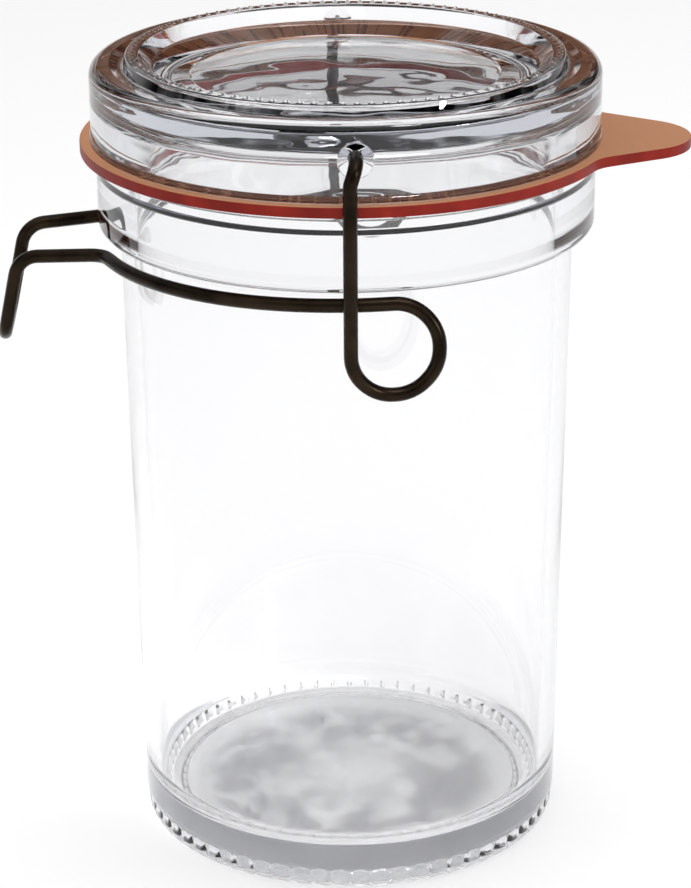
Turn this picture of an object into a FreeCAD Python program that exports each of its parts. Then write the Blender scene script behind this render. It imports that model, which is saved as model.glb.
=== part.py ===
import FreeCAD, Part
import math
import os

# Clip-top storage jar: a moulded glass jar, a pressed glass lid, a flat rubber gasket
# between them and one bent spring wire that hooks into the lid and holds under the
# jar's shoulder. Millimetres, +Z up, the jar's axis on Z, the table at z = 0.
# The wire's handle points to -X and the gasket's pull tab to +X.

# ---------------------------------------------------------------- jar glass
jar_height = 142.9          # table to the sealing rim
body_top_r = 44.9           # outside of the body just under the shoulder
body_taper = 1.6            # how much less the body's radius is just over the heel
wall = 3.2                  # body wall
shoulder_step = 4.2         # how far the shoulder stands out past the body
shoulder_h = 15.5           # sealing rim down to the shoulder's underside
shoulder_round = 1.5        # lower outer edge of the shoulder
shoulder_fillet = 1.2       # corner where the shoulder meets the body
lip_step = 0.5              # lip round the rim, past the shoulder wall
lip_h = 1.2                 # height of that lip
lip_round = 0.3
mouth_step = 1.3            # mouth seat, wider than the bore below it
mouth_depth = 4.2           # depth of that seat
mouth_ramp = 1.4            # height of the slope from the seat to the bore
mouth_round = 0.5
floor_z = 7.0               # inside floor at its edge
floor_crown = 0.8           # rise of the inside floor at the centre
floor_fillet = 6.0          # inside corner of floor and wall
heel_h = 5.0                # height of the heel, where the body's taper starts
heel_draft = 0.6            # how far the heel draws in towards the foot
heel_round = 1.2
bearing_w = 3.6             # width of the flat ring that the jar stands on
pushup_rise = 2.2           # step up inside the bearing ring
pushup_run = 2.6            # width of that step
pushup_crown = 1.0          # further rise to the centre of the base
notch_count = 66            # short grooves round the heel
notch_r = 0.6
notch_sink = 0.35
notch_h = 4.2

# ---------------------------------------------------------------- rubber gasket
gasket_t = 2.1
gasket_overhang = 1.9       # past the lid's rim
gasket_plug_gap = 0.3       # round the lid's locating plug
tab_reach = 15.4            # tab tip past the ring's edge
tab_tip_r = 12.0
tab_flare_deg = 30.0        # each side of the tab opens out towards the ring
tab_blend_r = 8.0           # inside corners where the tab leaves the ring
tab_turn_deg = -5.2         # the tab's direction, from +X

# ---------------------------------------------------------------- glass lid
lid_overhang = 0.9          # lid wall past the jar's shoulder
lid_rim_step = 0.3          # thin rim round the lid's foot
lid_rim_h = 1.0
lid_edge_h = 14.9           # seat up to the lid's outer top edge
lid_edge_round = 2.3
lid_crest_h = 16.5          # seat up to the raised stacking ring
crest_inset = 8.4           # stacking ring's middle, in from the lid wall
crest_w = 2.4
crest_round = 0.5
groove_w = 1.6              # groove round the outside of the stacking ring
groove_drop = 0.7           # below the lid's outer top edge
dish_drop = 2.8             # steep part of the sunken top, below the crest
dish_run = 2.6
dish_fall = 1.4             # gentle part, down to the centre disc
disc_inset = 7.8            # foot of the dish's steep part in to the centre disc
disc_step = 0.4
bead_count = 100
bead_r = 0.45
plug_gap = 0.8              # locating plug inside the jar's mouth seat
plug_w = 3.3
plug_reach = 2.4            # plug below the jar's rim
plug_round = 0.8
recess_h = 7.0              # seat up to the ceiling of the lid's recess
recess_draft = 1.8
recess_fillet = 3.0

# ---------------------------------------------------------------- wire clip
wire_d = 2.7
pivot_h = 8.1               # seat up to the dimples' axis
socket_clear = 0.05         # running fit of the wire's ends in the dimples
socket_depth = 3.3
socket_end_gap = 0.3
flare_r = 3.2               # mouth of each dimple
flare_depth = 1.8
arm_gap = 0.35              # arm outside the gasket
arm_bend_r = 3.0
arm_set = 1.2               # the arm stands this much nearer the handle than its pin
arm_set_drop = 3.6          # height of the slant that takes it there
arm_set_r = 4.0
loop_r = 8.25               # spring loop
loop_arcs = 6               # arcs in its three quarters of a turn
bend_slack = 0.3            # loop and ring arcs are this much tighter, which leaves short runs
ring_gap = 0.45             # ring under the shoulder, beside the loops
ring_fall = 0.9             # how much lower the ring is at the handle
swing_gap = 0.2             # ring past the shoulder's edge as it swings off
ring_start_deg = 6.0        # where the loop runs into the ring, past the arm
ring_arcs = 3
handle_root_w = 27.0        # prongs, where they leave the ring
handle_bend_w = 21.6        # prongs, where they turn down
handle_foot_w = 20.4        # across the finger bar's corners
handle_run = 16.7           # ring to the turn down
handle_sag = 0.9
handle_drop = 18.0          # ring down to the finger bar
handle_rake = 0.21          # outward slope of the legs, run over drop
corner_run = 5.4
corner_bend_r = 5.0
knee_bend_r = 5.0
foot_bend_r = 5.0

# ---------------------------------------------------------------- sizes that follow
wire_r = wire_d / 2
shoulder_r = body_top_r + shoulder_step
shoulder_z = jar_height - shoulder_h
lip_r = shoulder_r + lip_step
body_foot_r = body_top_r - body_taper
bore_top_r = body_top_r - wall
bore_foot_r = body_foot_r - wall
mouth_r = bore_top_r + mouth_step
foot_r = body_foot_r - heel_draft
bearing_r = foot_r - heel_round - bearing_w
lid_r = shoulder_r + lid_overhang
lid_rim_r = lid_r + lid_rim_step
seat_z = jar_height + gasket_t
crest_r = lid_r - crest_inset
crest_z = seat_z + lid_crest_h
plug_r = mouth_r - plug_gap
gasket_r = lid_rim_r + gasket_overhang
gasket_bore_r = plug_r + gasket_plug_gap
pivot_z = seat_z + pivot_h
arm_y = gasket_r + arm_gap + wire_r
loop_bend_r = loop_r - bend_slack
loop_x = loop_r - arm_set
ring_z = shoulder_z - ring_gap - wire_r
swing_inset = shoulder_r - shoulder_round
swing_drop = pivot_z - shoulder_z - shoulder_round
swing_r = math.hypot(swing_inset, swing_drop) + shoulder_round + wire_r + swing_gap
ring_r = math.sqrt(swing_r ** 2 - (pivot_z - ring_z) ** 2)
ring_bend_r = ring_r - bend_slack


def vec(x, y, z):
    return FreeCAD.Vector(x, y, z)


def rounded(corners, closed):
    """Straight runs joined by tangent arcs, one (point, radius) for each corner."""
    count = len(corners)
    ends = []
    arcs = []
    for i, (point, radius) in enumerate(corners):
        if radius == 0:
            ends.append((point, point))
            arcs.append(None)
            continue
        before = (point - corners[i - 1][0]).normalize()
        after = (corners[(i + 1) % count][0] - point).normalize()
        half_turn = before.getAngle(after) / 2
        reach = radius * math.tan(half_turn)
        inward = (after - before).normalize()
        middle = point + inward * (radius / math.cos(half_turn) - radius)
        ends.append((point - before * reach, point + after * reach))
        arcs.append(middle)
    edges = []
    for i in range(count):
        if arcs[i] is not None:
            edges.append(Part.Arc(ends[i][0], arcs[i], ends[i][1]).toShape())
        if i + 1 == count and not closed:
            break
        start = ends[i][1]
        stop = ends[(i + 1) % count][0]
        if (stop - start).Length > 0.001:
            edges.append(Part.LineSegment(start, stop).toShape())
    return edges


def turned(profile):
    """A solid of revolution about Z from (radius, height, rounding) corners."""
    corners = [(vec(r, 0, z), rounding) for r, z, rounding in profile]
    face = Part.Face(Part.Wire(rounded(corners, True)))
    return face.revolve(vec(0, 0, 0), vec(0, 0, 1), 360)


def around(shape, count):
    """Copies of a shape at even steps about Z."""
    copies = []
    for i in range(count):
        copy = shape.copy()
        copy.rotate(vec(0, 0, 0), vec(0, 0, 1), 360 * i / count)
        copies.append(copy)
    return copies


def bent_wire(edges, radius):
    """Round wire along a path of straight runs and arcs."""
    start = edges[0].valueAt(edges[0].FirstParameter)
    heading = edges[0].tangentAt(edges[0].FirstParameter)
    section = Part.Wire(Part.makeCircle(radius, start, heading))
    return Part.Wire(edges).makePipeShell([section], True, False)


def make_jar():
    glass = turned([
        (0, pushup_rise + pushup_crown, 0),
        (bearing_r - pushup_run, pushup_rise, pushup_run / 2),
        (bearing_r, 0, heel_round / 2),
        (foot_r, 0, heel_round),
        (body_foot_r, heel_h, heel_h / 2),
        (body_top_r, shoulder_z, shoulder_fillet),
        (shoulder_r, shoulder_z, shoulder_round),
        (shoulder_r, jar_height - lip_h, lip_round),
        (lip_r, jar_height - lip_h, lip_round),
        (lip_r, jar_height, lip_round),
        (mouth_r, jar_height, mouth_round),
        (mouth_r, jar_height - mouth_depth, mouth_round),
        (bore_top_r, jar_height - mouth_depth - mouth_ramp, mouth_round),
        (bore_foot_r, floor_z, floor_fillet),
        (0, floor_z + floor_crown, 0),
    ])
    groove = Part.makeCylinder(
        notch_r, 2 * notch_h, vec(body_foot_r + notch_r - notch_sink, 0, -notch_h)
    )
    return glass.cut(Part.makeCompound(around(groove, notch_count)))


def make_gasket():
    ring = Part.makeCylinder(gasket_r, gasket_t)
    tip_x = gasket_r + tab_reach - tab_tip_r
    flare = math.radians(tab_flare_deg)
    join_x = tip_x + tab_tip_r * math.sin(flare)
    join_y = tab_tip_r * math.cos(flare)
    root_x = gasket_bore_r
    root_y = join_y + (join_x - root_x) * math.tan(flare)
    outline = [
        Part.LineSegment(vec(root_x, -root_y, 0), vec(join_x, -join_y, 0)).toShape(),
        Part.Arc(
            vec(join_x, -join_y, 0), vec(tip_x + tab_tip_r, 0, 0), vec(join_x, join_y, 0)
        ).toShape(),
        Part.LineSegment(vec(join_x, join_y, 0), vec(root_x, root_y, 0)).toShape(),
        Part.LineSegment(vec(root_x, root_y, 0), vec(root_x, -root_y, 0)).toShape(),
    ]
    tab = Part.Face(Part.Wire(outline)).extrude(vec(0, 0, gasket_t))
    sheet = ring.fuse(tab).removeSplitter()
    inside_corners = [
        edge for edge in sheet.Edges
        if len(edge.Vertexes) == 2
        and abs(edge.Length - gasket_t) < 0.001
        and abs(edge.Vertexes[0].X - edge.Vertexes[1].X) < 0.001
        and abs(math.hypot(edge.Vertexes[0].X, edge.Vertexes[0].Y) - gasket_r) < 0.01
        and abs(edge.Vertexes[0].Y) > join_y
    ]
    sheet = sheet.makeFillet(tab_blend_r, inside_corners)
    sheet = sheet.cut(Part.makeCylinder(gasket_bore_r, 3 * gasket_t, vec(0, 0, -gasket_t)))
    sheet.rotate(vec(0, 0, 0), vec(0, 0, 1), tab_turn_deg)
    sheet.translate(vec(0, 0, jar_height))
    return sheet


def make_lid():
    plug_z = jar_height - plug_reach
    recess_z = seat_z + recess_h
    edge_z = seat_z + lid_edge_h
    rim_z = seat_z + lid_rim_h
    crest_out = crest_r + crest_w / 2
    crest_in = crest_r - crest_w / 2
    groove_z = edge_z - groove_drop
    dish_r = crest_in - dish_run
    dish_z = crest_z - dish_drop
    disc_z = dish_z - dish_fall
    disc_r = dish_r - disc_inset
    glass = turned([
        (0, recess_z, 0),
        (plug_r - plug_w - recess_draft, recess_z, recess_fillet),
        (plug_r - plug_w, plug_z, plug_round),
        (plug_r, plug_z, plug_round),
        (plug_r, seat_z, lip_round),
        (lid_rim_r, seat_z, lip_round),
        (lid_rim_r, rim_z, lip_round),
        (lid_r, rim_z + lid_rim_step, lip_round),
        (lid_r, edge_z, lid_edge_round),
        (crest_out + 2 * groove_w, edge_z, groove_w / 2),
        (crest_out + groove_w, groove_z, groove_w / 4),
        (crest_out + groove_w / 2, groove_z, groove_w / 4),
        (crest_out, crest_z, crest_round),
        (crest_in, crest_z, crest_round),
        (dish_r, dish_z, dish_drop / 2),
        (disc_r + disc_step, disc_z, disc_step / 2),
        (disc_r, disc_z - disc_step, disc_step / 4),
        (0, disc_z - disc_step, 0),
    ])
    bead = Part.makeSphere(bead_r, vec(crest_r, 0, crest_z))
    glass = glass.multiFuse(around(bead, bead_count))
    socket_r = wire_r + socket_clear
    for side in (-1, 1):
        inward = vec(0, -side, 0)
        mouth = vec(0, side * lid_r, pivot_z)
        start = vec(0, side * (lid_r + socket_depth), pivot_z)
        socket = Part.makeCylinder(socket_r, 2 * socket_depth, start, inward)
        flare = Part.makeCone(flare_r, socket_r, flare_depth, mouth, inward)
        skirt = Part.makeCylinder(flare_r, flare_depth, mouth, vec(0, side, 0))
        glass = glass.cut(socket).cut(flare).cut(skirt)
    return glass


def clip_half(side):
    """Corners of half the clip, from the pin in one dimple to the finger bar."""
    pin_y = lid_r - socket_depth + socket_end_gap
    corners = [
        (vec(0, side * pin_y, pivot_z), 0),
        (vec(0, side * arm_y, pivot_z), arm_bend_r),
        (vec(-arm_set, side * arm_y, pivot_z - arm_set_drop), arm_set_r),
    ]
    step = math.radians(270 / loop_arcs)
    out = loop_r / math.cos(step / 2)
    centre_z = ring_z - loop_r
    start = math.radians(ring_start_deg)
    top_x = loop_x + out * math.cos(math.pi / 2 - step / 2)
    top_y = ring_r * math.cos(start) - (top_x - ring_r * math.sin(start)) * math.tan(start)
    for i in range(loop_arcs):
        angle = math.pi + step * (i + 0.5)
        y = arm_y + (top_y - arm_y) * i / (loop_arcs - 1)
        x = loop_x + out * math.cos(angle)
        z = centre_z + out * math.sin(angle)
        corners.append((vec(x, side * y, z), loop_bend_r))
    finish = math.acos((handle_root_w / 2 + corner_run) / ring_r)
    swing = (start + finish) / ring_arcs
    for i in range(ring_arcs):
        angle = start - swing * (i + 0.5)
        out_r = ring_r / math.cos(swing / 2)
        x = out_r * math.sin(angle)
        y = out_r * math.cos(angle)
        z = ring_z + ring_fall * min(x, 0) / ring_r
        corners.append((vec(x, side * y, z), ring_bend_r))
    corner_x = ring_r * math.sin(finish) + corner_run / math.tan(finish)
    root_z = ring_z - ring_fall * corner_x / ring_r
    knee_x = corner_x + handle_run
    knee_z = root_z - handle_sag
    foot_z = root_z - handle_drop
    foot_x = knee_x + handle_rake * (knee_z - foot_z)
    corners += [
        (vec(-corner_x, side * handle_root_w / 2, root_z), corner_bend_r),
        (vec(-knee_x, side * handle_bend_w / 2, knee_z), knee_bend_r),
        (vec(-foot_x, side * handle_foot_w / 2, foot_z), foot_bend_r),
    ]
    return corners


def make_clip():
    near = clip_half(-1)
    far = clip_half(1)
    path = rounded(near + far[::-1], False)
    length = sum(edge.Length for edge in path)
    clip = bent_wire(path, wire_r)
    section = math.pi * wire_r ** 2
    print("clip volume over section x length:", round(clip.Volume / (section * length), 5))
    return clip


os.makedirs("parts", exist_ok=True)
pieces = {
    "jar": make_jar(),
    "gasket": make_gasket(),
    "lid": make_lid(),
    "clip": make_clip(),
}
for name, shape in pieces.items():
    solid = shape.Solids[0]
    print(name, "solids", len(shape.Solids), "valid", shape.isValid(), "mm3", round(solid.Volume, 1))
    solid.exportStep(os.path.join("parts", name + ".step"))
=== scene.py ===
import math

import bmesh
import bpy
from mathutils import Matrix, Vector


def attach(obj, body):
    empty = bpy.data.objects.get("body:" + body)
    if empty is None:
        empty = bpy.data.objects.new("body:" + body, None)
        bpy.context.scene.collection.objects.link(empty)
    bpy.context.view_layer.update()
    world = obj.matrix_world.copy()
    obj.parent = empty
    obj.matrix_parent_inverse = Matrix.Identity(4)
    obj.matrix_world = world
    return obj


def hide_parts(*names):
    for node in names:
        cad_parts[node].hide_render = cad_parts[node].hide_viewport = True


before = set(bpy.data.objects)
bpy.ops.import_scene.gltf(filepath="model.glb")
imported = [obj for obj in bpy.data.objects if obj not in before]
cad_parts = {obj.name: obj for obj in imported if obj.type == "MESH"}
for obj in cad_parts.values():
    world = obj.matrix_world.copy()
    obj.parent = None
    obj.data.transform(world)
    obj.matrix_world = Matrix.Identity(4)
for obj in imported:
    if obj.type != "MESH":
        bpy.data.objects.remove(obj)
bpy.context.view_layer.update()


# ---------------------------------------------------------------- jar
# A wide-mouth jar pressed and blown in clear soda-lime glass: a straight body that
# tapers a little to its foot, a thick shoulder and lip that carry the gasket, and a
# heel with short grooves round it that keep the hot glass off the conveyor.
jar_height = 142.9
body_top_r = 44.9
body_foot_r = 43.3
wall = 3.2
shoulder_r = 49.1
shoulder_z = 127.4
lip_r = 49.6
lip_h = 1.2
mouth_r = 43.0
mouth_depth = 4.2
mouth_ramp = 1.4
floor_z = 7.0
floor_crown = 0.8
heel_h = 5.0
foot_r = 42.7
heel_round = 1.2
bearing_r = 37.9
pushup_rise = 2.2
pushup_run = 2.6
pushup_crown = 1.0
groove_count = 66
groove_top = 4.2
groove_sink = 0.4
jar_columns = 4 * groove_count


def turned(profile, columns):
    """A wall turned about the axis from (radius, height, rounding, segments) corners."""
    bm = bmesh.new()
    corners = [bm.verts.new((corner[0], 0, corner[1])) for corner in profile]
    for a, b in zip(corners, corners[1:]):
        bm.edges.new((a, b))
    places = [vert.co.copy() for vert in corners]
    for i, (vert, corner) in enumerate(zip(corners, profile)):
        if corner[2] == 0:
            continue
        before = (places[i] - places[i - 1]).normalized()
        after = (places[(i + 1) % len(places)] - places[i]).normalized()
        reach = corner[2] * math.tan(before.angle(after) / 2)
        bmesh.ops.bevel(
            bm, geom=[vert], offset=reach, offset_type="OFFSET", segments=corner[3],
            profile=0.5, affect="VERTICES", material=-1,
        )
    bmesh.ops.spin(
        bm, geom=bm.verts[:] + bm.edges[:], cent=(0, 0, 0), axis=(0, 0, 1),
        dvec=(0, 0, 0), angle=2 * math.pi, steps=columns, use_merge=True,
    )
    bmesh.ops.remove_doubles(bm, verts=bm.verts[:], dist=0.002)
    bmesh.ops.recalc_face_normals(bm, faces=bm.faces[:])
    return bm


def column_of(face, columns):
    """Which column of a turned wall a face is in, counted from +X."""
    middle = face.calc_center_median()
    return int(math.atan2(middle.y, middle.x) / (2 * math.pi) * columns % columns)


def piece_from(bm, name, material, body, node):
    """The finished mesh, brought from millimetres to metres, in the place of its node."""
    bmesh.ops.scale(bm, vec=(0.001, 0.001, 0.001), verts=bm.verts[:])
    for face in bm.faces:
        face.smooth = True
    mesh = bpy.data.meshes.new(name)
    bm.to_mesh(mesh)
    bm.free()
    mesh.materials.append(material)
    piece = bpy.data.objects.new(name, mesh)
    bpy.context.collection.objects.link(piece)
    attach(piece, body)
    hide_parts(node)
    return piece


def even_shading(piece):
    """Large faces keep their own direction, so only the rounded edges shade as rounded."""
    shading = piece.modifiers.new("even shading", "WEIGHTED_NORMAL")
    shading.mode = "FACE_AREA"
    shading.weight = 50


jar_bm = turned([
    (0, pushup_rise + pushup_crown, 0, 0),
    (18, pushup_rise + 0.6 * pushup_crown, 12, 4),
    (bearing_r - pushup_run, pushup_rise, pushup_run / 2, 5),
    (bearing_r, 0, heel_round / 2, 4),
    (foot_r, 0, heel_round, 7),
    (foot_r + 0.26, 2.2, 0, 0),
    (foot_r + 0.5, groove_top, 0, 0),
    (body_foot_r, heel_h, 0.6, 3),
    (body_foot_r + 0.4, 35, 0, 0),
    (body_foot_r + 0.8, 66, 0, 0),
    (body_foot_r + 1.2, 97, 0, 0),
    (body_top_r, shoulder_z, 1.2, 5),
    (shoulder_r, shoulder_z, 1.5, 8),
    (shoulder_r, jar_height - lip_h, 0.3, 3),
    (lip_r, jar_height - lip_h, 0.3, 4),
    (lip_r, jar_height, 0.3, 4),
    (mouth_r, jar_height, 0.5, 5),
    (mouth_r, jar_height - mouth_depth, 0.5, 4),
    (body_top_r - wall, jar_height - mouth_depth - mouth_ramp, 0.5, 4),
    (body_top_r - wall - 0.4, 100, 0, 0),
    (body_top_r - wall - 0.8, 70, 0, 0),
    (body_top_r - wall - 1.2, 40, 0, 0),
    (body_foot_r - wall, floor_z, 6.0, 12),
    (18, floor_z + 0.6 * floor_crown, 12, 4),
    (0, floor_z + floor_crown, 0, 0),
], jar_columns)

heel = [
    face for face in jar_bm.faces
    if column_of(face, jar_columns) % 4 == 0
    and face.calc_center_median().xy.length > foot_r - 0.7
    and 0.2 < face.calc_center_median().z < groove_top
]
bmesh.ops.inset_region(
    jar_bm, faces=heel, thickness=0.22, depth=-groove_sink, use_boundary=True,
    use_even_offset=True,
)

jar_glass = bpy.data.materials.new("clear jar glass")
jar_glass.use_nodes = True


def clear_glass(material, grain, swirl, tint, depth, thickness_tone):
    """Pressed glass: clear, with a trace of grey that its thickness brings out, faint
    ripples of the mould, and a stippled underside to the base."""
    nodes, links = material.node_tree.nodes, material.node_tree.links
    nodes.clear()
    out = nodes.new("ShaderNodeOutputMaterial")
    shader = nodes.new("ShaderNodeBsdfPrincipled")
    shader.inputs["Base Color"].default_value = (1, 1, 1, 1)
    shader.inputs["Transmission Weight"].default_value = 1
    shader.inputs["IOR"].default_value = 1.52
    place = nodes.new("ShaderNodeTexCoord")
    stretch = nodes.new("ShaderNodeMapping")
    stretch.inputs["Scale"].default_value = (1, 1, swirl)
    ripple = nodes.new("ShaderNodeTexNoise")
    ripple.inputs["Scale"].default_value = grain
    ripple.inputs["Detail"].default_value = 2
    bump = nodes.new("ShaderNodeBump")
    bump.inputs["Strength"].default_value = 1
    bump.inputs["Distance"].default_value = depth
    handled = nodes.new("ShaderNodeTexNoise")
    handled.inputs["Scale"].default_value = 60
    handled.inputs["Detail"].default_value = 4
    polish = nodes.new("ShaderNodeMapRange")
    polish.inputs["From Min"].default_value = 0.45
    polish.inputs["From Max"].default_value = 0.8
    polish.inputs["To Min"].default_value = 0.0
    polish.inputs["To Max"].default_value = 0.05
    stippled = nodes.new("ShaderNodeMapRange")
    stippled.interpolation_type = "SMOOTHSTEP"
    stippled.inputs["From Min"].default_value = 0.0045
    stippled.inputs["From Max"].default_value = 0.006
    stippled.inputs["To Min"].default_value = 0.6
    stippled.inputs["To Max"].default_value = 0.0
    underneath = nodes.new("ShaderNodeMapRange")
    underneath.inputs["From Min"].default_value = 0.8
    underneath.inputs["From Max"].default_value = 0.95
    stipple = nodes.new("ShaderNodeMath")
    stipple.operation = "MULTIPLY"
    worn = nodes.new("ShaderNodeMath")
    height = nodes.new("ShaderNodeSeparateXYZ")
    surface = nodes.new("ShaderNodeNewGeometry")
    upright = nodes.new("ShaderNodeSeparateXYZ")
    level = nodes.new("ShaderNodeMath")
    level.operation = "ABSOLUTE"
    links.new(place.outputs["Object"], height.inputs["Vector"])
    links.new(surface.outputs["Normal"], upright.inputs["Vector"])
    links.new(upright.outputs["Z"], level.inputs[0])
    tinted = nodes.new("ShaderNodeVolumeAbsorption")
    tinted.inputs["Color"].default_value = tint
    tinted.inputs["Density"].default_value = thickness_tone
    links.new(place.outputs["Object"], stretch.inputs["Vector"])
    links.new(stretch.outputs["Vector"], ripple.inputs["Vector"])
    links.new(ripple.outputs["Fac"], bump.inputs["Height"])
    links.new(bump.outputs["Normal"], shader.inputs["Normal"])
    links.new(place.outputs["Object"], handled.inputs["Vector"])
    links.new(handled.outputs["Fac"], polish.inputs["Value"])
    links.new(height.outputs["Z"], stippled.inputs["Value"])
    links.new(level.outputs["Value"], underneath.inputs["Value"])
    links.new(stippled.outputs["Result"], stipple.inputs[0])
    links.new(underneath.outputs["Result"], stipple.inputs[1])
    links.new(polish.outputs["Result"], worn.inputs[0])
    links.new(stipple.outputs["Value"], worn.inputs[1])
    links.new(worn.outputs["Value"], shader.inputs["Roughness"])
    links.new(shader.outputs["BSDF"], out.inputs["Surface"])
    links.new(tinted.outputs["Volume"], out.inputs["Volume"])


clear_glass(jar_glass, grain=45, swirl=0.6, tint=(0.80, 0.81, 0.84, 1), depth=0.00005,
            thickness_tone=45)
jar = piece_from(jar_bm, "jar_of_clear_glass", jar_glass, "jar_body", "jar")
even_shading(jar)
jar.visible_shadow = False


# ---------------------------------------------------------------- gasket
# A flat ring of natural rubber, stamped from sheet with one pull tab, that lies on the
# jar's rim under the lid. Its cut edge is a clean deep red. The faces that point up are
# painted a paler tan, a painted sheen that stands for the light from above glancing off them.
gasket_t = 2.1
gasket_r = 52.2
gasket_bore_r = 42.5
tab_reach = 15.4
tab_tip_r = 12.0
tab_flare = math.radians(30)
tab_blend_r = 8.0
tab_turn = math.radians(-5.2)


def tab_edge(angle):
    """How far the gasket's edge lies from the axis, at an angle from the tab's middle."""
    angle = abs(angle)
    along = Vector((math.cos(angle), math.sin(angle)))
    tip = Vector((gasket_r + tab_reach - tab_tip_r, 0))
    join = tip + tab_tip_r * Vector((math.sin(tab_flare), math.cos(tab_flare)))
    side = Vector((math.sin(tab_flare), math.cos(tab_flare)))
    off = join.dot(side) + tab_blend_r
    blend = side * off + Vector((side.y, -side.x)) * math.sqrt((gasket_r + tab_blend_r) ** 2 - off ** 2)
    root = blend - side * tab_blend_r
    if angle < math.atan2(join.y, join.x):
        middle = along.dot(tip)
        return middle + math.sqrt(middle ** 2 - tip.length_squared + tab_tip_r ** 2)
    if angle < math.atan2(root.y, root.x):
        return join.dot(side) / along.dot(side)
    if angle < math.atan2(blend.y, blend.x):
        middle = along.dot(blend)
        return middle - math.sqrt(middle ** 2 - blend.length_squared + tab_blend_r ** 2)
    return gasket_r


gasket_bm = bmesh.new()
bmesh.ops.create_circle(gasket_bm, segments=540, radius=gasket_bore_r)
bore = gasket_bm.edges[:]
outline = bmesh.ops.create_circle(gasket_bm, segments=540, radius=gasket_r)["verts"]
for vert in outline:
    vert.co.xy *= tab_edge(math.atan2(vert.co.y, vert.co.x)) / gasket_r
edge_loops = bore + [edge for edge in gasket_bm.edges if edge.verts[0] in outline]
bmesh.ops.bridge_loops(gasket_bm, edges=edge_loops)
raised = bmesh.ops.extrude_face_region(gasket_bm, geom=gasket_bm.faces[:], use_keep_orig=True)
bmesh.ops.translate(
    gasket_bm, vec=(0, 0, gasket_t),
    verts=[part for part in raised["geom"] if isinstance(part, bmesh.types.BMVert)],
)
bmesh.ops.recalc_face_normals(gasket_bm, faces=gasket_bm.faces[:])
bmesh.ops.bevel(
    gasket_bm, geom=[edge for edge in gasket_bm.edges if edge.calc_face_angle(0) > 1],
    offset=0.16, offset_type="OFFSET", segments=3, profile=0.5, affect="EDGES", material=-1,
)
bmesh.ops.rotate(
    gasket_bm, cent=(0, 0, 0), matrix=Matrix.Rotation(tab_turn, 3, "Z"), verts=gasket_bm.verts[:],
)
bmesh.ops.translate(gasket_bm, vec=(0, 0, jar_height), verts=gasket_bm.verts[:])

rubber = bpy.data.materials.new("red natural rubber")
rubber.use_nodes = True
nodes, links = rubber.node_tree.nodes, rubber.node_tree.links
shader = nodes["Principled BSDF"]
shader.inputs["Specular IOR Level"].default_value = 0.15
place = nodes.new("ShaderNodeTexCoord")
facing = nodes.new("ShaderNodeNewGeometry")
upward = nodes.new("ShaderNodeSeparateXYZ")
# Painted sheen: faces that point up get a paler tan mixed into the colour, a painted highlight of the
# light from above.
top_sheen_mask = nodes.new("ShaderNodeMapRange")
top_sheen_mask.inputs["From Min"].default_value = 0.5
top_sheen_mask.inputs["From Max"].default_value = 1.0
mottle = nodes.new("ShaderNodeTexNoise")
mottle.inputs["Scale"].default_value = 180
mottle.inputs["Detail"].default_value = 5
red = nodes.new("ShaderNodeValToRGB")
red.color_ramp.elements[0].position = 0.35
red.color_ramp.elements[0].color = (0.15, 0.007, 0.004, 1)
red.color_ramp.elements[1].position = 0.7
red.color_ramp.elements[1].color = (0.23, 0.013, 0.006, 1)
painted_top_sheen = nodes.new("ShaderNodeMix")
painted_top_sheen.data_type = "RGBA"
painted_top_sheen.inputs["B"].default_value = (0.42, 0.19, 0.095, 1)
matt = nodes.new("ShaderNodeMapRange")
matt.inputs["To Min"].default_value = 0.34
matt.inputs["To Max"].default_value = 0.5
grain = nodes.new("ShaderNodeBump")
grain.inputs["Strength"].default_value = 0.5
grain.inputs["Distance"].default_value = 0.00004
fine = nodes.new("ShaderNodeTexNoise")
fine.inputs["Scale"].default_value = 1500
links.new(facing.outputs["Normal"], upward.inputs["Vector"])
links.new(upward.outputs["Z"], top_sheen_mask.inputs["Value"])
links.new(place.outputs["Object"], mottle.inputs["Vector"])
links.new(mottle.outputs["Fac"], red.inputs["Fac"])
links.new(red.outputs["Color"], painted_top_sheen.inputs["A"])
links.new(top_sheen_mask.outputs["Result"], painted_top_sheen.inputs["Factor"])
links.new(painted_top_sheen.outputs["Result"], shader.inputs["Base Color"])
links.new(mottle.outputs["Fac"], matt.inputs["Value"])
links.new(matt.outputs["Result"], shader.inputs["Roughness"])
links.new(place.outputs["Object"], fine.inputs["Vector"])
links.new(fine.outputs["Fac"], grain.inputs["Height"])
links.new(grain.outputs["Normal"], shader.inputs["Normal"])
gasket = piece_from(gasket_bm, "gasket_of_red_rubber", rubber, "jar_body", "gasket")
even_shading(gasket)


# ---------------------------------------------------------------- lid
# A thick pressed glass lid: a low wall with a soft outer edge, a beaded stacking ring
# round a sunken top, and a hollow underside whose short plug drops into the jar's
# mouth. Two dimples in its wall take the ends of the wire.
lid_seat_z = 145.0
lid_r = 50.0
lid_rim_step = 0.3
lid_rim_h = 1.0
lid_edge_z = 159.9
crest_r = 41.6
crest_z = 161.5
crest_w = 2.4
rim_groove_w = 1.6
rim_groove_z = 159.2
dish_r = 37.8
dish_z = 158.7
disc_r = 30.0
disc_z = 157.3
disc_step = 0.4
plug_r = 42.2
plug_w = 3.3
plug_z = 140.5
recess_z = 152.0
recess_draft = 1.8
bead_count = 100
bead_r = 0.45
pivot_z = 153.1
dimple_r = 3.2
dimple_flare = 1.8
dimple_depth = 3.3
socket_r = 1.4
lid_columns = 2 * bead_count
dimple_row = 1.3

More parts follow.
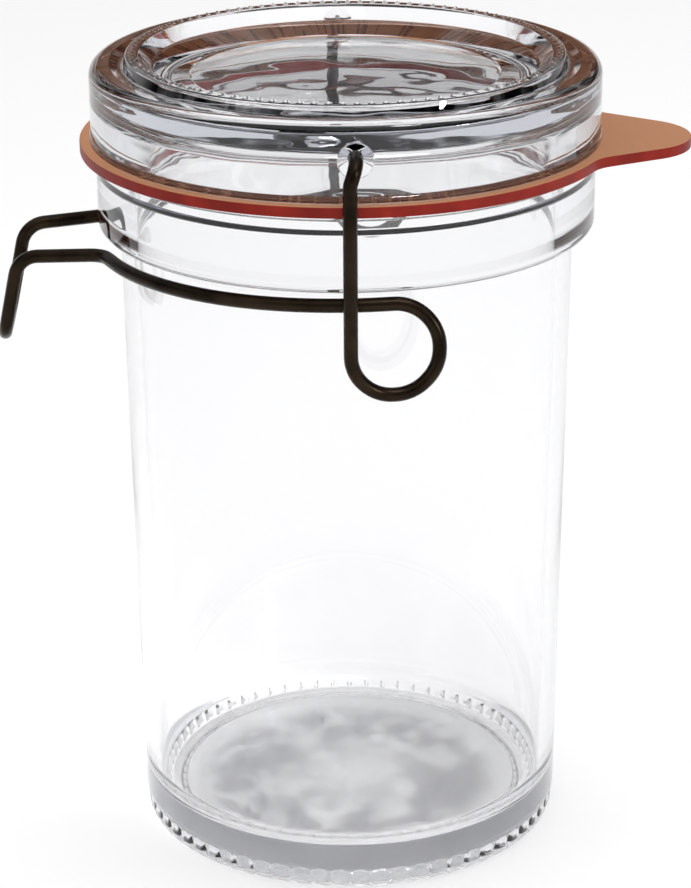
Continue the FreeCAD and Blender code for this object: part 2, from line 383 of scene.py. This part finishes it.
lid_bm = turned([
    (0, recess_z, 0, 0),
    (18, recess_z, 0, 0),
    (plug_r - plug_w - recess_draft, recess_z, 3.0, 8),
    (plug_r - plug_w, plug_z, 0.8, 5),
    (plug_r, plug_z, 0.8, 5),
    (plug_r, lid_seat_z, 0.3, 3),
    (lid_r + lid_rim_step, lid_seat_z, 0.3, 4),
    (lid_r + lid_rim_step, lid_seat_z + lid_rim_h, 0.3, 4),
    (lid_r, lid_seat_z + lid_rim_h + lid_rim_step, 0.3, 3),
    *[(lid_r, pivot_z + dimple_row * i, 0, 0) for i in range(-3, 4)],
    (lid_r, lid_edge_z, 2.3, 10),
    (crest_r + crest_w / 2 + 2 * rim_groove_w, lid_edge_z, 0.8, 4),
    (crest_r + crest_w / 2 + rim_groove_w, rim_groove_z, 0.4, 3),
    (crest_r + crest_w / 2 + rim_groove_w / 2, rim_groove_z, 0.4, 3),
    (crest_r + crest_w / 2, crest_z, 0.5, 5),
    (crest_r - crest_w / 2, crest_z, 0.5, 5),
    (dish_r, dish_z, 1.4, 6),
    (disc_r + disc_step, disc_z, 0.2, 3),
    (disc_r, disc_z - disc_step, 0.1, 2),
    (16, disc_z - disc_step, 0, 0),
    (0, disc_z - disc_step, 0, 0),
], lid_columns)

# Beads: one face of the crest in every second column is drawn up into a small dome.
bead_seats = [
    face for face in lid_bm.faces
    if column_of(face, lid_columns) % 2 == 0
    and abs(face.calc_center_median().z - crest_z) < 0.001
]
seat_edges = list({edge for face in bead_seats for edge in face.edges})
bmesh.ops.subdivide_edges(lid_bm, edges=seat_edges, cuts=1)
for rise in (0.0, 0.5, 0.85):
    bmesh.ops.inset_individual(lid_bm, faces=bead_seats, thickness=0.02)
    for face in bead_seats:
        middle = face.calc_center_median()
        outward = Vector((middle.x, middle.y, 0)).normalized()
        across = Vector((-outward.y, outward.x, 0))
        seat = Vector((*(outward * crest_r).xy, crest_z))
        ring = bead_r * math.sqrt(1 - rise ** 2)
        for loop in face.loops:
            away = loop.vert.co - middle
            turn = round(math.atan2(away.dot(across), away.dot(outward)) / (math.pi / 4)) * math.pi / 4
            loop.vert.co = (
                seat + (outward * math.cos(turn) + across * math.sin(turn)) * ring
                + Vector((0, 0, rise * bead_r * 0.98))
            )

# Dimples: a block of the wall's faces on each side gives way to a flared blind hole.
for side in (-1, 1):
    block = [
        face for face in lid_bm.faces
        if abs(face.calc_center_median().z - pivot_z) < 3 * dimple_row
        and face.calc_center_median().xy.length > lid_r - 0.1
        and abs(column_of(face, lid_columns) + 0.5 - lid_columns * (0.25 if side > 0 else 0.75)) < 3
    ]
    rim = [edge for edge in {edge for face in block for edge in face.edges}
           if sum(face in block for face in edge.link_faces) == 1]
    bmesh.ops.delete(lid_bm, geom=block, context="FACES")
    for ring, depth in (
        (dimple_r + 0.25, 0.0), (dimple_r + 0.05, 0.06), (dimple_r - 0.12, 0.22),
        (socket_r + 0.12, dimple_flare - 0.12), (socket_r, dimple_flare + 0.1),
        (socket_r, dimple_depth - 0.25), (socket_r - 0.25, dimple_depth),
    ):
        made = bmesh.ops.extrude_edge_only(lid_bm, edges=rim)["geom"]
        rim = [part for part in made if isinstance(part, bmesh.types.BMEdge)]
        for vert in [part for part in made if isinstance(part, bmesh.types.BMVert)]:
            turn = math.atan2(vert.co.z - pivot_z, vert.co.x)
            x = ring * math.cos(turn)
            wall_y = math.sqrt(lid_r ** 2 - x ** 2) if depth < 0.5 else lid_r
            vert.co = (x, side * (wall_y - depth), pivot_z + ring * math.sin(turn))
    floor = bmesh.ops.contextual_create(lid_bm, geom=rim)["faces"]
    bmesh.ops.poke(lid_bm, faces=floor)
bmesh.ops.recalc_face_normals(lid_bm, faces=lid_bm.faces[:])

lid_glass = bpy.data.materials.new("clear lid glass")
lid_glass.use_nodes = True
clear_glass(lid_glass, grain=38, swirl=3, tint=(0.80, 0.81, 0.84, 1), depth=0.00022,
            thickness_tone=30)
lid = piece_from(lid_bm, "lid_of_clear_glass", lid_glass, "jar_body", "lid")
even_shading(lid)
lid.visible_shadow = False


# ---------------------------------------------------------------- clip
# One length of hard spring wire, darkened and lacquered, bent cold on a former: a pin
# into each dimple, an arm down past the gasket, a three-quarter spring loop, a ring
# that grips under the shoulder, and a handle that stands out at the side.
wire_r = 1.35
pin_y = 47.0
arm_y = 53.9
arm_bend_r = 3.0
arm_set = 1.2
arm_set_drop = 3.6
arm_set_r = 4.0
loop_r = 8.25
loop_arcs = 6
bend_slack = 0.3
ring_z = 125.6
ring_r = 49.30
ring_fall = 0.9
ring_start = math.radians(6)
ring_arcs = 3
handle_root_w = 27.0
handle_bend_w = 21.6
handle_foot_w = 20.4
handle_run = 16.7
handle_sag = 0.9
handle_drop = 18.0
handle_rake = 0.21
corner_run = 5.4
corner_bend_r = 5.0
knee_bend_r = 5.0
foot_bend_r = 5.0

corners = [
    ((0, pin_y, pivot_z), 0),
    ((0, arm_y, pivot_z), arm_bend_r),
    ((-arm_set, arm_y, pivot_z - arm_set_drop), arm_set_r),
]
loop_x = loop_r - arm_set
step = math.radians(270 / loop_arcs)
out = loop_r / math.cos(step / 2)
top_x = loop_x + out * math.cos(math.pi / 2 - step / 2)
top_y = ring_r * math.cos(ring_start) - (top_x - ring_r * math.sin(ring_start)) * math.tan(ring_start)
for i in range(loop_arcs):
    angle = math.pi + step * (i + 0.5)
    corners.append((
        (loop_x + out * math.cos(angle), arm_y + (top_y - arm_y) * i / (loop_arcs - 1),
         ring_z - loop_r + out * math.sin(angle)), loop_r - bend_slack,
    ))
ring_end = math.acos((handle_root_w / 2 + corner_run) / ring_r)
swing = (ring_start + ring_end) / ring_arcs
for i in range(ring_arcs):
    angle = ring_start - swing * (i + 0.5)
    out = ring_r / math.cos(swing / 2)
    fall = ring_fall * min(out * math.sin(angle), 0) / ring_r
    corners.append(((out * math.sin(angle), out * math.cos(angle), ring_z + fall), ring_r - bend_slack))
corner_x = ring_r * math.sin(ring_end) + corner_run / math.tan(ring_end)
root_z = ring_z - ring_fall * corner_x / ring_r
knee_x = corner_x + handle_run
foot_x = knee_x + handle_rake * (handle_drop - handle_sag)
corners += [
    ((-corner_x, handle_root_w / 2, root_z), corner_bend_r),
    ((-knee_x, handle_bend_w / 2, root_z - handle_sag), knee_bend_r),
    ((-foot_x, handle_foot_w / 2, root_z - handle_drop), foot_bend_r),
]
corners = [((x, -y, z), bend) for (x, y, z), bend in corners] + corners[::-1]

wire = bpy.data.curves.new("bent wire", "CURVE")
wire.dimensions = "3D"
wire.resolution_u = 8
wire.bevel_depth = wire_r
wire.bevel_resolution = 5
wire.use_fill_caps = True
path = wire.splines.new("BEZIER")
path.bezier_points.add(2 * len(corners) - 3)
at = 0
for i, (place_of, bend) in enumerate(corners):
    place_of = Vector(place_of)
    before = (place_of - Vector(corners[i - 1][0])).normalized() if i else None
    after = (Vector(corners[i + 1][0]) - place_of).normalized() if i + 1 < len(corners) else None
    if before is None or after is None:
        ends = [(place_of, after or before)]
        hold = 0
    else:
        turn = before.angle(after)
        reach = bend * math.tan(turn / 2)
        hold = 4 / 3 * math.tan(turn / 4) * bend
        ends = [(place_of - before * reach, before), (place_of + after * reach, after)]
    for j, (spot, heading) in enumerate(ends):
        point = path.bezier_points[at]
        point.handle_left_type = point.handle_right_type = "FREE"
        point.co = spot
        point.handle_left = spot - heading * (hold if j == 1 else 0.3)
        point.handle_right = spot + heading * (hold if j == 0 and bend else 0.3)
        at += 1
wire_path = bpy.data.objects.new("bent wire", wire)
bpy.context.collection.objects.link(wire_path)
bpy.context.view_layer.update()
depsgraph = bpy.context.evaluated_depsgraph_get()
wire_mesh = bpy.data.meshes.new_from_object(wire_path.evaluated_get(depsgraph))
clip_bm = bmesh.new()
clip_bm.from_mesh(wire_mesh)
bpy.data.objects.remove(wire_path)
bmesh.ops.remove_doubles(clip_bm, verts=clip_bm.verts[:], dist=0.01)
bmesh.ops.recalc_face_normals(clip_bm, faces=clip_bm.faces[:])

steel = bpy.data.materials.new("darkened spring steel")
steel.use_nodes = True
nodes, links = steel.node_tree.nodes, steel.node_tree.links
shader = nodes["Principled BSDF"]
shader.inputs["Metallic"].default_value = 1
place = nodes.new("ShaderNodeTexCoord")
cloud = nodes.new("ShaderNodeTexNoise")
cloud.inputs["Scale"].default_value = 140
cloud.inputs["Detail"].default_value = 6
tone = nodes.new("ShaderNodeValToRGB")
tone.color_ramp.elements[0].position = 0.3
tone.color_ramp.elements[0].color = (0.010, 0.007, 0.005, 1)
tone.color_ramp.elements[1].position = 0.75
tone.color_ramp.elements[1].color = (0.034, 0.024, 0.015, 1)
sheen = nodes.new("ShaderNodeMapRange")
sheen.inputs["To Min"].default_value = 0.22
sheen.inputs["To Max"].default_value = 0.36
pits = nodes.new("ShaderNodeTexNoise")
pits.inputs["Scale"].default_value = 2500
pits.inputs["Detail"].default_value = 3
drawn = nodes.new("ShaderNodeBump")
drawn.inputs["Strength"].default_value = 0.35
drawn.inputs["Distance"].default_value = 0.00003
links.new(place.outputs["Object"], cloud.inputs["Vector"])
links.new(cloud.outputs["Fac"], tone.inputs["Fac"])
links.new(tone.outputs["Color"], shader.inputs["Base Color"])
links.new(cloud.outputs["Fac"], sheen.inputs["Value"])
links.new(sheen.outputs["Result"], shader.inputs["Roughness"])
links.new(place.outputs["Object"], pits.inputs["Vector"])
links.new(pits.outputs["Fac"], drawn.inputs["Height"])
links.new(drawn.outputs["Normal"], shader.inputs["Normal"])
piece_from(clip_bm, "clip_of_spring_wire", steel, "clip_body", "clip")


# ---------------------------------------------------------------- studio
# A pale table in a white surround under soft lights. One dark band stands all round the
# set with no gap in it, above most of what is seen straight through the glass, so that
# the lid and shoulder have something dark to mirror from any direction.
table_r = 3
shadow_disc_r = 0.05
band_r = 1.3
band_foot = 0.2
band_top = 1.3


def staged(bm, name, colour, only_in_glass):
    """A plain studio surface that isn't part of the jar."""
    mesh = bpy.data.meshes.new(name)
    bm.to_mesh(mesh)
    bm.free()
    surface = bpy.data.materials.new(name)
    surface.use_nodes = True
    surface.node_tree.nodes["Principled BSDF"].inputs["Base Color"].default_value = (*colour, 1)
    surface.node_tree.nodes["Principled BSDF"].inputs["Roughness"].default_value = 0.9
    surface.node_tree.nodes["Principled BSDF"].inputs["Specular IOR Level"].default_value = 0.1
    mesh.materials.append(surface)
    stand = bpy.data.objects.new(name, mesh)
    bpy.context.collection.objects.link(stand)
    if only_in_glass:
        stand.visible_camera = stand.visible_diffuse = stand.visible_shadow = False
    return stand


table_bm = bmesh.new()
bmesh.ops.create_circle(table_bm, cap_ends=True, segments=96, radius=table_r)
staged(table_bm, "pale_table", (0.9, 0.9, 0.9), False)


def feathered(stand, low, high, grain):
    """Dark and a little patchy, fading in past the low limit and out past the high one,
    by radius on the table and by height upright, with no direction left out."""
    nodes, links = stand.active_material.node_tree.nodes, stand.active_material.node_tree.links
    place = nodes.new("ShaderNodeTexCoord")
    apart = nodes.new("ShaderNodeSeparateXYZ")
    links.new(place.outputs["Object"], apart.inputs["Vector"])

    def worked(operation, a, b=None):
        step = nodes.new("ShaderNodeMath")
        step.operation = operation
        links.new(a, step.inputs[0])
        if b is not None:
            links.new(b, step.inputs[1])
        return step.outputs["Value"]

    def ramped(value, start, stop):
        step = nodes.new("ShaderNodeMapRange")
        step.interpolation_type = "SMOOTHSTEP"
        step.inputs["From Min"].default_value = start
        step.inputs["From Max"].default_value = stop
        links.new(value, step.inputs["Value"])
        return step.outputs["Result"]

    x, y, z = apart.outputs
    radius = worked("SQRT", worked("ADD", worked("MULTIPLY", x, x), worked("MULTIPLY", y, y)))
    along = z if stand.dimensions.z > 0.1 else radius
    patchy = nodes.new("ShaderNodeTexNoise")
    patchy.inputs["Scale"].default_value = grain
    patchy.inputs["Detail"].default_value = 3
    patchy.inputs["Distortion"].default_value = 1.2
    links.new(place.outputs["Object"], patchy.inputs["Vector"])
    limits = worked("MULTIPLY", ramped(along, *low), ramped(along, *high))
    shade = worked("MULTIPLY", limits, ramped(patchy.outputs["Fac"], 0.34, 0.56))
    clear = nodes.new("ShaderNodeBsdfTransparent")
    mixed = nodes.new("ShaderNodeMixShader")
    links.new(shade, mixed.inputs["Fac"])
    links.new(clear.outputs["BSDF"], mixed.inputs[1])
    links.new(nodes["Principled BSDF"].outputs["BSDF"], mixed.inputs[2])
    links.new(mixed.outputs["Shader"], nodes["Material Output"].inputs["Surface"])


# Painted shadow: a grey, patchy disc under the jar, seen only through the glass and in reflections,
# stands for the shade beneath the base.
shadow_disc_bm = bmesh.new()
bmesh.ops.create_circle(shadow_disc_bm, cap_ends=True, segments=96, radius=shadow_disc_r)
bmesh.ops.translate(shadow_disc_bm, vec=(0, 0, 0.0004), verts=shadow_disc_bm.verts[:])
shadow_disc = staged(shadow_disc_bm, "painted_shadow_under_the_base", (0.42, 0.42, 0.43), True)
feathered(shadow_disc, low=(0.0, 0.02), high=(0.034, 0.026), grain=110)

band_bm = bmesh.new()
upright_edge = band_bm.edges.new(
    (band_bm.verts.new((band_r, 0, band_foot)), band_bm.verts.new((band_r, 0, band_top)))
)
bmesh.ops.spin(
    band_bm, geom=[*upright_edge.verts, upright_edge], cent=(0, 0, 0), axis=(0, 0, 1),
    dvec=(0, 0, 0), angle=2 * math.pi, steps=96, use_merge=True,
)
band = staged(band_bm, "band_round_the_set", (0.02, 0.02, 0.022), True)
feathered(band, low=(0.22, 0.34), high=(1.28, 0.9), grain=3)

surround = bpy.data.worlds.new("white surround")
surround.use_nodes = True
surround.node_tree.nodes["Background"].inputs["Color"].default_value = (1, 1, 1, 1)
surround.node_tree.nodes["Background"].inputs["Strength"].default_value = 0.9
bpy.context.scene.world = surround
bpy.context.scene.view_settings.view_transform = "Standard"


def soft_light(name, where, size, power, casts=True):
    lamp = bpy.data.lights.new(name, "AREA")
    lamp.shape = "DISK"
    lamp.size = size
    lamp.energy = power
    lamp.use_shadow = casts
    light = bpy.data.objects.new(name, lamp)
    light.location = where
    light.rotation_euler = (Vector((0, 0, 0.08)) - Vector(where)).to_track_quat("-Z", "Y").to_euler()
    bpy.context.collection.objects.link(light)


soft_light("soft light above", (0.25, -0.2, 1.4), 0.9, 2.5)
soft_light("small light above", (0.35, -0.45, 1.2), 0.2, 1.8, casts=False)
soft_light("soft light left", (-1.2, -0.9, 0.7), 0.7, 2)
soft_light("small light right", (1.0, -0.85, 0.6), 0.16, 5, casts=False)

lens = bpy.data.cameras.new("camera")
lens.lens = 117.5
lens.shift_x = -0.0026
camera = bpy.data.objects.new("camera", lens)
bpy.context.collection.objects.link(camera)
camera_away = 0.553
camera_up = 0.2947
turned_by = math.radians(2.0)
looking_down = math.radians(21.3)
rolled_by = math.radians(-0.36)
camera.location = (-camera_away * math.sin(turned_by), -camera_away * math.cos(turned_by), camera_up)
ahead = Vector((math.sin(turned_by), math.cos(turned_by), 0)) * math.cos(looking_down)
ahead.z = -math.sin(looking_down)
camera.rotation_euler = (
    ahead.to_track_quat("-Z", "Y").to_matrix() @ Matrix.Rotation(rolled_by, 3, "Z")
).to_euler()
bpy.context.scene.camera = camera
